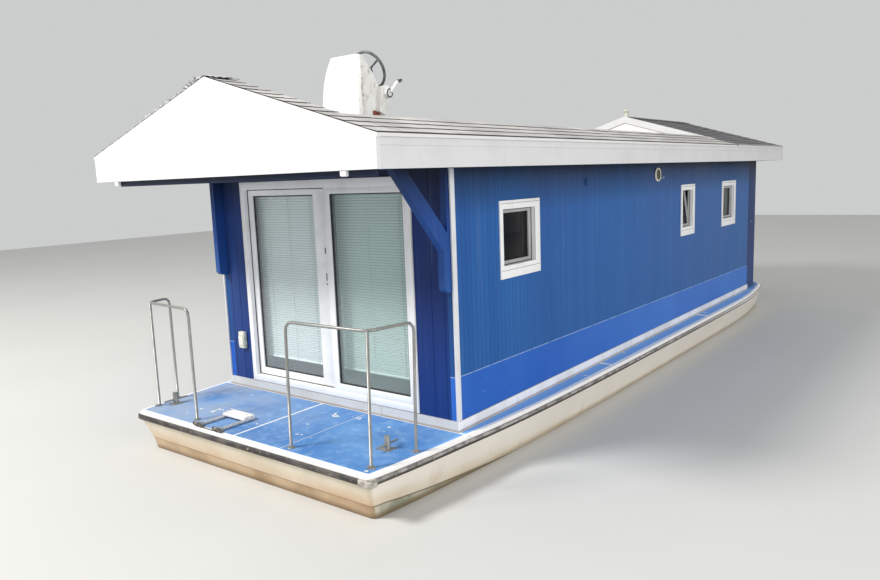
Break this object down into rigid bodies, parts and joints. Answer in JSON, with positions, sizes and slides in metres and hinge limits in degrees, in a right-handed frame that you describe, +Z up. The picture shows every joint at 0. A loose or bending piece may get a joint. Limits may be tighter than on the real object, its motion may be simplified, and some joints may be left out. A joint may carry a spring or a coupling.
{
  "type": "houseboat",
  "caption": "Houseboat with a shallow scow hull, a boarded cabin with a sliding terrace door, a roof deck with a helm, gabled roof ends and an outboard motor.",
  "frame": {"origin": "middle of the object's plan on the level of the hull's flat bottom", "axes": "+X to port, +Y aft towards the motor, +Z up"},
  "size_m": [3.49, 11.092, 3.9332],
  "materials": {
    "gelcoat": "cream GRP, stained and worn",
    "rail_rubber": "dark rubbing strip, worn",
    "wall_blue": "blue paint on grooved boards",
    "navy_paint": "darker blue paint",
    "white_paint": "white painted boards",
    "pvc": "white PVC frame, dark glass",
    "shingle": "grey bitumen shingles",
    "slats": "white blind slats",
    "steel": "bright tube, light wear",
    "console_shell": "white GRP",
    "black_plastic": "black plastic rim and spokes",
    "timber": "weathered timber",
    "motor_paint": "dark grey paint",
    "prop_alloy": "bare cast alloy"
  },
  "bodies": {
    "boat": {"hull": "gelcoat", "rub_rail": "rail_rubber", "wall_port": "wall_blue", "wall_starboard": "wall_blue", "wall_front": "navy_paint", "wall_stern": "navy_paint", "plinth": "white_paint", "screen_port": "navy_paint", "screen_starboard": "navy_paint", "bracket_port": "wall_blue", "bracket_starboard": "wall_blue", "window_port_1": "pvc", "window_starboard_1": "pvc", "window_port_2": "pvc", "window_starboard_2": "pvc", "window_port_3": "pvc", "window_starboard_3": "pvc", "door_frame": "pvc", "door_fixed": "pvc", "blind_starboard": "slats", "blind_port": "slats", "roof_slab": "navy_paint", "fascia_port": "white_paint", "fascia_starboard": "white_paint", "gable_bow": "white_paint", "gable_stern": "white_paint", "roof_bow": "shingle", "roof_stern": "shingle", "gable_wall": "white_paint", "skirt_port": "shingle", "skirt_starboard": "shingle", "helm_console": "console_shell", "helm_control": "console_shell", "handrail_port": "steel", "handrail_starboard": "steel", "bollard_bow_port": "steel", "bollard_bow_starboard": "steel", "bollard_stern_port": "steel", "bollard_stern_starboard": "steel", "ladder_seat": "steel", "motor_pad": "timber", "motor_clamp": "motor_paint"},
    "front_leaf": {"door_leaf": "pvc"},
    "stern_leaf": {"stern_door": "pvc"},
    "helm_wheel": {"steering_wheel": "black_plastic"},
    "ladder": {"boarding_ladder": "steel"},
    "swivel": {"motor_swivel": "motor_paint"},
    "motor": {"motor_leg": "motor_paint", "motor_cowl": "motor_paint"},
    "screw": {"propeller": "prop_alloy"}
  },
  "joints": [
    {"name": "door_slide", "type": "slide", "parent": "boat", "child": "front_leaf", "axis": [1, 0, 0], "range_m": [0, 0.94]},
    {"name": "stern_door_swing", "type": "hinge", "parent": "boat", "child": "stern_leaf", "pos_m": [0.401, 3.898, 1.7], "axis": [0, 0, -1], "range_deg": [0, 105]},
    {"name": "ladder_fold", "type": "hinge", "parent": "boat", "child": "ladder", "pos_m": [-0.4115, -5.524, 0.692], "axis": [1, 0, 0], "range_deg": [0, 240]},
    {"name": "motor_tilt", "type": "hinge", "parent": "boat", "child": "swivel", "pos_m": [0, 5.112, 0.702], "axis": [1, 0, 0], "range_deg": [0, 65]},
    {"name": "motor_steer", "type": "hinge", "parent": "swivel", "child": "motor", "pos_m": [0, 5.208, 0.57], "axis": [0, 0, 1], "range_deg": [-30, 30]},
    {"name": "wheel_turn", "type": "hinge", "parent": "boat", "child": "helm_wheel", "pos_m": [0, -3.842, 3.677], "axis": [0, 0.9, 0.4359], "range_deg": [-540, 540]},
    {"name": "propeller_spin", "type": "hinge", "parent": "motor", "child": "screw", "pos_m": [0, 5.417, 0.145], "axis": [0, 1, 0], "continuous": true}
  ],
  "couplings": [
    {"joint": "wheel_turn", "follows": "motor_steer", "ratio": -18}
  ]
}
